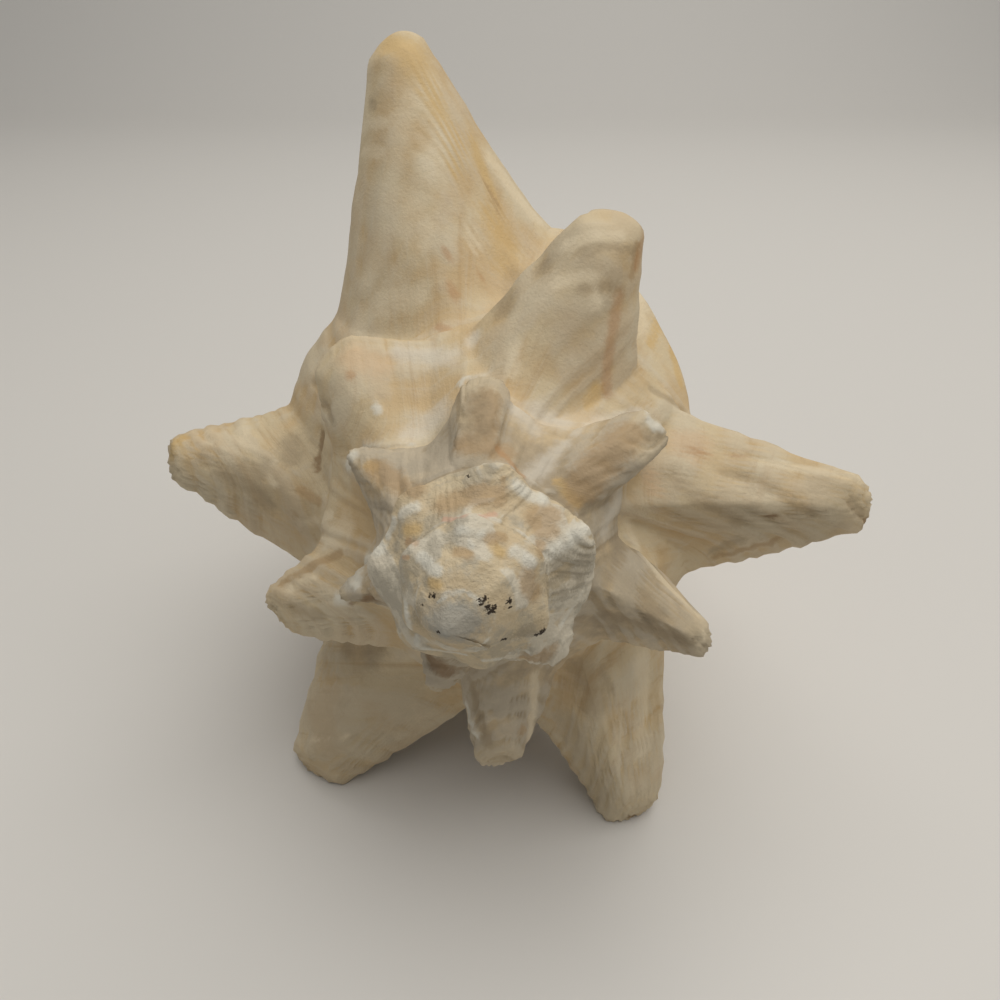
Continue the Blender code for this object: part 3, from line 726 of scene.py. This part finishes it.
# Vertex numbers: a whorl's lower edge is the next whorl's upper edge
whorl_index = np.zeros((total + 1, WHORL_ROWS + 1), dtype=int)
whorl_index[:, :WHORL_ROWS] = np.arange((total + 1) * WHORL_ROWS).reshape(total + 1, WHORL_ROWS)
body_start = (total + 1) * WHORL_ROWS
body_index = body_start + np.arange((COLUMNS + 1) * (BODY_ROWS + 1)).reshape(COLUMNS + 1, BODY_ROWS + 1)
body_index[0, 0] = whorl_index[total, 0]
body_index[COLUMNS, BODY_ROWS] = body_index[0, BODY_ROWS]
whorl_index[:first + 1, WHORL_ROWS] = whorl_index[COLUMNS:, 0]
whorl_index[first:, WHORL_ROWS] = body_index[:, 0]

points = [whorl_points[:, :WHORL_ROWS].reshape(-1, 3), body_points.reshape(-1, 3)]
point_count = body_start + body_index.size
faces = []
face_places = []


def grid_faces(index, place_turn, place_row):
    """Quads of a grid, with the turn and row of each corner for the map of the surface."""
    corners = ((0, 0), (1, 0), (1, 1), (0, 1))
    height = index.shape[0] - 1
    width = index.shape[1] - 1
    quads = np.stack([index[i:i + height, j:j + width] for i, j in corners], axis=-1)
    turns = np.stack([place_turn[i:i + height, j:j + width] for i, j in corners], axis=-1)
    levels = np.stack([place_row[i:i + height, j:j + width] for i, j in corners], axis=-1)
    faces.extend(quads.reshape(-1, 4).tolist())
    face_places.append(np.stack([turns.reshape(-1), levels.reshape(-1)], axis=-1))


def ring_faces(outer, inner, turns, level_outer, level_inner):
    """Quads between two closed rings of vertices."""
    index = np.stack([np.append(outer, outer[0]), np.append(inner, inner[0])], axis=1)
    turns = np.append(turns, turns[-1])
    level = np.stack([np.full(turns.shape, level_outer), np.full(turns.shape, level_inner)], axis=1)
    grid_faces(index, np.stack([turns, turns], axis=1), level)


def fan_faces(ring, middle, turns, level):
    """Triangles from a closed ring to one middle vertex."""
    after = np.roll(ring, -1)
    faces.extend(np.stack([ring, after, np.full(ring.shape, middle)], axis=1).tolist())
    place = np.stack([turns, turns, turns], axis=1).reshape(-1)
    face_places.append(np.stack([place, np.full(place.shape, level)], axis=-1))


def add_points(new):
    """Adds a set of vertices and gives their numbers."""
    global point_count
    points.append(new)
    numbers = point_count + np.arange(len(new))
    point_count += len(new)
    return numbers


def close_dome(ring, edge, peak, shares, bulge, pearl, turns, level):
    """Rings of quads that shrink from an edge to a peak, and triangles to its middle."""
    previous = ring
    before = level
    for number, share in enumerate(shares):
        inner = dome_ring(edge, peak, share, bulge, pearl)
        numbers = add_points(inner)
        after = level + (number + 1.0) / (len(shares) + 1.0)
        ring_faces(previous, numbers, turns, before, after)
        previous = numbers
        before = after
    middle = add_points(inner.mean(axis=0)[None, :])[0]
    fan_faces(previous, middle, turns, before)


grid_faces(whorl_index, growth_line(whorl_turn, whorl_spine), row_grid)
grid_faces(body_index, growth_line(body_turn, body_spine), 1.0 + share_grid)

nub_ring = np.concatenate([whorl_index[:COLUMNS, 0], whorl_index[0, WHORL_ROWS:0:-1]])
nub_turns = np.concatenate([whorl_turn[:COLUMNS, 0], whorl_turn[0, WHORL_ROWS:0:-1] + 360.0])
close_dome(nub_ring, nub_rim(whorl_points), np.array(NUB_PEAK), NUB_RINGS, NUB_BULGE, PEARL_RISE,
           nub_turns * NUB_SWIRL, -1.0)
nub_last = point_count

canal_ring = body_index[:COLUMNS, BODY_ROWS]
canal_edge = body_points[:COLUMNS, BODY_ROWS]
canal_peak = np.array([0.0, 0.0, CANAL_DEPTH + CANAL_DOME])
close_dome(canal_ring, canal_edge, canal_peak, CANAL_RINGS, CANAL_BULGE, 0.0,
           body_turn[:COLUMNS, BODY_ROWS], 2.0)
pocket_start = point_count

lip_rows = np.concatenate([rows, np.ones(BODY_ROWS)])
lip_shares = np.concatenate([np.zeros(WHORL_ROWS + 1), shares[1:]])
lip_turns = column_turn(np.full(lip_rows.shape, LAST_TURN), lip_rows, lip_shares)
column_shares = shares[1:-1][::-1]
column_turns = column_turn(np.full(column_shares.shape, LAST_TURN - 360.0), 1.0, column_shares)
lip_push = spine_push(lip_turns, lip_rows, lip_shares)[0]
lip_smooth = np.concatenate([whorl_smooth[total, :WHORL_ROWS], body_smooth[COLUMNS]])
lip_raised = np.concatenate([whorl_points[total, :WHORL_ROWS], body_points[COLUMNS]]) - lip_smooth
lip_ring = np.concatenate([whorl_index[total, :WHORL_ROWS], body_index[COLUMNS], body_index[0, 1:-1][::-1]])
ring_turns = np.concatenate([lip_turns, column_turns])
pocket_rings = []
for angle in LIP_ROUND:
    around = np.radians(angle)
    pocket_rings.append((0.0, 0.5 - 0.5 * np.cos(around), LIP_ROUND_DEGREES * np.sin(around)))
pocket_rings.extend((degrees, 1.0, 0.0) for degrees in POCKET_DEGREES)
previous = lip_ring
level = 3.0
for number, (degrees, sunk, ahead) in enumerate(pocket_rings):
    deep = min(degrees / 25.0 + 0.1 * sunk, 1.0)
    wall = pocket_point(lip_turns - degrees + ahead, lip_rows, lip_shares, deep, sunk)
    wall = wall + lip_push * np.exp(-degrees / 9.0)
    wall = wall + lip_raised * np.exp(-degrees / 4.0) * (1.0 - 0.6 * sunk)
    side = column_point(column_turns - degrees - 0.4 * (number + 1.0), column_shares, deep)
    ring_points = np.concatenate([wall, side])
    if degrees == POCKET_TURN:
        middle = ring_points.mean(axis=0)
        ring_points = middle + 0.6 * (ring_points - middle)
    numbers = add_points(ring_points)
    next_level = 3.0 + (number + 1.0) / len(pocket_rings)
    ring_faces(previous, numbers, ring_turns, level, next_level)
    previous = numbers
    level = next_level
pocket_end = add_points(ring_points.mean(axis=0)[None, :])[0]
fan_faces(previous, pocket_end, ring_turns, level)


# The finished skin as it lies, cut flat where it rests
all_points = lying(np.concatenate(points)) * MM
all_points[:, 2] = np.maximum(all_points[:, 2], 0.0)

# Facts of each vertex that the finish follows
OLDEST_TURN = -600.0
# The finish of the oldest whorls fades out before OLD_END, and that of the middle ones lies between
# MIDDLE_START and MIDDLE_END, both over some degrees
OLD_END = 185.0
MIDDLE_START = 165.0
MIDDLE_END = 590.0
OLD_FADE = 20.0
MIDDLE_FADE = 60.0
spine_fact = np.zeros(point_count)
relief_fact = np.zeros(point_count)
mouth_fact = np.zeros(point_count)
turn_fact = np.full(point_count, LAST_TURN)
spine_fact[whorl_index[:, :WHORL_ROWS]] = whorl_spine[:, :WHORL_ROWS]
spine_fact[body_index] = body_spine
relief_fact[whorl_index[:, :WHORL_ROWS]] = whorl_relief[:, :WHORL_ROWS]
relief_fact[body_index] = body_relief
turn_fact[whorl_index[:, :WHORL_ROWS]] = whorl_turn[:, :WHORL_ROWS]
turn_fact[body_index] = body_turn
turn_fact[body_start + body_index.size:nub_last] = OLDEST_TURN
mouth_fact[pocket_start:] = 1.0


# The finish. Bleached lime: cream with tan and ochre growth streaks, chalky white where it stands
# proud, grey dirt in the hollows of the old whorls and a glossy peach lining in the mouth. Some of
# the marks painted over it are painted shade and painted highlights.
CREAM = (0.585, 0.43, 0.235, 1.0)
PALE = (0.64, 0.52, 0.33, 1.0)
TAN = (0.46, 0.30, 0.14, 1.0)
OCHRE = (0.56, 0.36, 0.13, 1.0)
CHALK = (0.65, 0.60, 0.49, 1.0)
GREY = (0.36, 0.32, 0.24, 1.0)
DRAB = (0.34, 0.27, 0.18, 1.0)
BONE = (0.57, 0.475, 0.325, 1.0)
LINING = (0.72, 0.42, 0.28, 1.0)
# How each kind of mark is painted: colour, strength and softness of its edge
PAINTS = {
    # painted shade on large faces turned from the light
    "haze": ((0.38, 0.30, 0.19, 1.0), 0.42, 0.50),
    "bloom": ((0.72, 0.67, 0.57, 1.0), 0.50, 0.50),
    # pale bands and chips, with painted highlights on lit ledge edges
    "pale": ((0.78, 0.66, 0.46, 1.0), 0.60, 0.40),
    "crest": ((0.82, 0.71, 0.51, 1.0), 0.42, 0.50),
    "peach": ((0.68, 0.44, 0.24, 1.0), 0.38, 0.45),
    "ochre": ((0.62, 0.41, 0.15, 1.0), 0.62, 0.45),
    "tan": ((0.42, 0.28, 0.14, 1.0), 0.68, 0.32),
    # dull hollows, with painted shade on shaded facets and under ledges
    "dull": ((0.34, 0.26, 0.16, 1.0), 0.55, 0.45),
    "chalk": ((0.72, 0.69, 0.59, 1.0), 0.72, 0.34),
    "ash": ((0.33, 0.32, 0.28, 1.0), 0.80, 0.35),
    "rose": ((0.60, 0.34, 0.24, 1.0), 0.55, 0.30),
    "rust": ((0.45, 0.22, 0.08, 1.0), 0.45, 0.40),
    # dark brown lines, with painted shade in slots and gaps
    "umber": ((0.24, 0.14, 0.06, 1.0), 0.70, 0.28),
    "grime": ((0.26, 0.20, 0.12, 1.0), 0.38, 0.35),
    "soot": ((0.03, 0.018, 0.008, 1.0), 1.00, 0.18),
}


class Wire:
    """One output of a shader node. Arithmetic on it adds Math nodes."""

    def __init__(self, tree, socket):
        self.tree = tree
        self.socket = socket

    def node(self, kind, settings=None, sockets=None, output=0):
        """Adds a node of a type, with its settings, then its sockets' values or links."""
        made = self.tree.nodes.new(kind)
        for name, value in (settings or {}).items():
            if name == "stops":
                while len(made.color_ramp.elements) < len(value):
                    made.color_ramp.elements.new(0.5)
                for element, (place, colour) in zip(made.color_ramp.elements, value):
                    element.position = place
                    element.color = colour
            else:
                setattr(made, name, value)
        for name, value in (sockets or {}).items():
            if isinstance(value, Wire):
                self.tree.links.new(value.socket, made.inputs[name])
            else:
                made.inputs[name].default_value = value
        return Wire(self.tree, made.outputs[output])

    def maths(self, operation, *values):
        return self.node("ShaderNodeMath", {"operation": operation}, dict(enumerate(values)))

    def __add__(self, other):
        return self.maths("ADD", self, other)

    def __radd__(self, other):
        return self.maths("ADD", other, self)

    def __sub__(self, other):
        return self.maths("SUBTRACT", self, other)

    def __rsub__(self, other):
        return self.maths("SUBTRACT", other, self)

    def __mul__(self, other):
        return self.maths("MULTIPLY", self, other)

    def __rmul__(self, other):
        return self.maths("MULTIPLY", other, self)

    def between(self, low, high):
        """0 below the low value, 1 above the high one and smooth between them."""
        return self.node("ShaderNodeMapRange", {"interpolation_type": "SMOOTHSTEP"},
                         {"Value": self, "From Min": low, "From Max": high})

    def blend(self, under, over):
        """The colour under where this mask is 0 and the one over where it is 1."""
        return self.node("ShaderNodeMix", {"data_type": "RGBA"}, {0: self, 6: under, 7: over}, 2)

    def noise(self, scale, detail=3.0, roughness=0.55, stretch=(1.0, 1.0, 1.0)):
        """Noise over these coordinates, which may be stretched."""
        place = self.node("ShaderNodeMapping", None, {"Vector": self, "Scale": stretch})
        return self.node("ShaderNodeTexNoise", None,
                         {"Vector": place, "Scale": scale, "Detail": detail, "Roughness": roughness})


def shell_finish():
    """The whole shell's material, from object coordinates, the surface's map and its facts."""
    material = bpy.data.materials.new("bleached_lime")
    material.use_nodes = True
    tree = material.node_tree
    surface = tree.nodes["Principled BSDF"]
    start = Wire(tree, None)
    place = start.node("ShaderNodeTexCoord", None, None, "Object")
    spiral = start.node("ShaderNodeUVMap", {"uv_map": "spiral"})

    def fact(name):
        return start.node("ShaderNodeAttribute", {"attribute_name": name}, None, "Fac")

    clouds = place.noise(70.0, 3.0)
    mottle = place.noise(260.0, 4.0, 0.65)
    grain = place.noise(1500.0, 3.0, 0.6)
    streak = spiral.noise(1.0, 4.0, 0.6, (60.0, 1.6, 1.0))
    thread = spiral.noise(1.0, 3.0, 0.6, (240.0, 3.0, 1.0))
    cords = spiral.noise(1.0, 3.0, 0.55, (6.0, 26.0, 1.0))
    proud = fact("proud")
    spine = fact("spine")
    middle = fact("middle")
    old = fact("old")
    mouth = fact("mouth")

    young = 1.0 - old
    plain = young * (1.0 - spine.between(0.15, 0.60))
    colour = clouds.between(0.38, 0.62).blend(CREAM, PALE)
    colour = (streak.between(0.50, 0.72) * 0.55 * young).blend(colour, TAN)
    colour = (streak.between(0.56, 0.78) * clouds.between(0.62, 0.42) * 0.5 * young).blend(colour, OCHRE)
    colour = (thread.between(0.52, 0.70) * 0.15 * plain).blend(colour, CHALK)
    colour = (cords.between(0.55, 0.70) * 0.12).blend(colour, CHALK)
    colour = (mottle.between(0.58, 0.72) * 0.35 * (1.0 - mouth)).blend(colour, TAN)
    colour = (middle * 0.40).blend(colour, BONE)
    colour = (middle * (clouds + mottle * 0.6).between(0.50, 0.88) * 0.85).blend(colour, DRAB)
    colour = (old * (0.50 + mottle.between(0.40, 0.62) * 0.35)).blend(colour, BONE)
    colour = ((proud + mottle * 0.5 - 0.25).between(0.45, 0.80) * (0.3 + old * 0.45)).blend(colour, CHALK)
    colour = (old * (clouds + mottle * 1.2 - 0.6).between(0.50, 0.66) * 0.5).blend(colour, GREY)
    colour = (spine.between(0.80, 1.0) * 0.4 * young).blend(colour, PALE)
    fray = place.noise(900.0, 3.0, 0.7)
    ragged = (mottle - 0.5) * 0.7 + (fray - 0.5) * 0.7
    spots = place.noise(2600.0, 2.0, 0.6)
    # The marks go over the base colour in order; some of them are painted shade on faces, ledges and slots
    # turned from the light, and painted highlights on lit ledge edges.
    for kind, (paint, strength, soft) in PAINTS.items():
        rough_edge = (spots - 0.5) * 2.0 if kind in ("soot", "grime") else ragged
        shown = (fact(kind) + rough_edge).between(0.5 - soft, 0.5 + soft) * strength
        colour = (shown * fact(kind).between(0.0, 0.1)).blend(colour, paint)
    colour = (mouth * 0.9).blend(colour, LINING)
    tree.links.new(colour.socket, surface.inputs["Base Color"])
    roughness = 0.62 + grain * 0.16 - mouth * 0.36
    tree.links.new(roughness.socket, surface.inputs["Roughness"])
    height = thread * plain * 0.25 + mottle * (0.6 + old * 0.8) + grain * (0.35 + old * 0.4) + cords * 0.15
    height = height * (1.0 - mouth * 0.85)
    bump = start.node("ShaderNodeBump", None, {"Strength": 0.55, "Distance": 0.0006, "Height": height})
    tree.links.new(bump.socket, surface.inputs["Normal"])
    surface.inputs["Specular IOR Level"].default_value = 0.4
    return material


# One mesh for the whole shell, since the real one grew in one piece
mesh = bpy.data.meshes.new("shell_surface")
added = np.arange(body_start + body_index.size, point_count)
used = np.unique(np.concatenate([whorl_index.ravel(), body_index.ravel(), added]))
renumber = np.full(point_count, -1)
renumber[used] = np.arange(len(used))
mesh.from_pydata(all_points[used].tolist(), [], [renumber[face].tolist() for face in faces])
spiral_map = mesh.uv_layers.new(name="spiral")
corner_places = np.concatenate(face_places)
corner_places[:, 0] /= 360.0
spiral_map.data.foreach_set("uv", corner_places.astype(np.float32).ravel())
proud = np.clip(0.5 + 0.5 * relief_fact / (0.15 + 0.5 * growth(turn_fact)), 0.0, 1.0)
facts = {
    "proud": proud,
    "spine": spine_fact,
    "middle": step((turn_fact - MIDDLE_START) / OLD_FADE) * step((MIDDLE_END - turn_fact) / MIDDLE_FADE),
    "old": step((OLD_END - turn_fact) / OLD_FADE),
    "mouth": mouth_fact,
}
shell_places = np.concatenate(points)
for kind, marks in shell_marks.items():
    facts[kind] = marked(shell_places, marks) * (1.0 - mouth_fact)
for name, values in facts.items():
    mesh.attributes.new(name, "FLOAT", "POINT").data.foreach_set("value", values[used].astype(np.float32))
outward = bmesh.new()
outward.from_mesh(mesh)
bmesh.ops.recalc_face_normals(outward, faces=outward.faces)
outward.to_mesh(mesh)
outward.free()
mesh.shade_smooth()
mesh.materials.append(shell_finish())
shell_surface = bpy.data.objects.new("shell_surface", mesh)
bpy.context.scene.collection.objects.link(shell_surface)
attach(shell_surface, "root")
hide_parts("shell")


# The floor is a plain pale sheet that curves up behind the shell
FLOOR_COLOUR = (0.65, 0.63, 0.595, 1.0)
FLOOR_HALF_WIDTH = 3.0
FLOOR_FRONT = -2.0
WALL_START = 0.9
COVE_RADIUS = 0.5
WALL_HEIGHT = 2.0

profile = [(FLOOR_FRONT, 0.0), (WALL_START, 0.0)]
for angle in np.radians(np.linspace(7.5, 90.0, 12)):
    profile.append((WALL_START + COVE_RADIUS * np.sin(angle), COVE_RADIUS * (1.0 - np.cos(angle))))
profile.append((WALL_START + COVE_RADIUS, WALL_HEIGHT))
floor_points = [(side * FLOOR_HALF_WIDTH, y, z) for y, z in profile for side in (-1.0, 1.0)]
floor_faces = [(2 * i, 2 * i + 1, 2 * i + 3, 2 * i + 2) for i in range(len(profile) - 1)]
floor_mesh = bpy.data.meshes.new("floor")
floor_mesh.from_pydata(floor_points, [], floor_faces)
floor_mesh.shade_smooth()
floor_material = bpy.data.materials.new("pale_floor")
floor_material.use_nodes = True
floor_surface = floor_material.node_tree.nodes["Principled BSDF"]
floor_surface.inputs["Base Color"].default_value = FLOOR_COLOUR
floor_surface.inputs["Roughness"].default_value = 0.55
floor_mesh.materials.append(floor_material)
floor = bpy.data.objects.new("floor", floor_mesh)
bpy.context.scene.collection.objects.link(floor)


# Soft daylight from above and behind, with a pale room round it
def soft_light(name, place, target, size, power, colour):
    """A square area light at a place, turned towards a target."""
    lamp = bpy.data.lights.new(name, "AREA")
    lamp.size = size
    lamp.energy = power
    lamp.color = colour
    light = bpy.data.objects.new(name, lamp)
    light.location = place
    light.rotation_euler = (Vector(target) - Vector(place)).to_track_quat("-Z", "Y").to_euler()
    bpy.context.scene.collection.objects.link(light)


SHELL_MIDDLE = (0.0, 0.0, 0.06)
WINDOW_PLACE = (0.22, 0.08, 1.25)
WINDOW_SIZE = 1.6
WINDOW_POWER = 17.2
WINDOW_COLOUR = (1.0, 0.97, 0.92)
ROOM_COLOUR = (0.95, 0.97, 1.0, 1.0)
ROOM_STRENGTH = 0.22
soft_light("window_light", WINDOW_PLACE, SHELL_MIDDLE, WINDOW_SIZE, WINDOW_POWER, WINDOW_COLOUR)
world = bpy.data.worlds.new("room")
world.use_nodes = True
world.node_tree.nodes["Background"].inputs["Color"].default_value = ROOM_COLOUR
world.node_tree.nodes["Background"].inputs["Strength"].default_value = ROOM_STRENGTH
bpy.context.scene.world = world
bpy.context.scene.view_settings.view_transform = "Standard"

# The camera of the photo
camera_data = bpy.data.cameras.new("camera")
camera_data.lens = LENS
camera_data.sensor_width = SENSOR
camera_data.clip_start = 0.01
camera = bpy.data.objects.new("camera", camera_data)
camera.location = CAMERA_PLACE
camera.rotation_euler = CAMERA_ANGLES
bpy.context.scene.collection.objects.link(camera)
bpy.context.scene.camera = camera
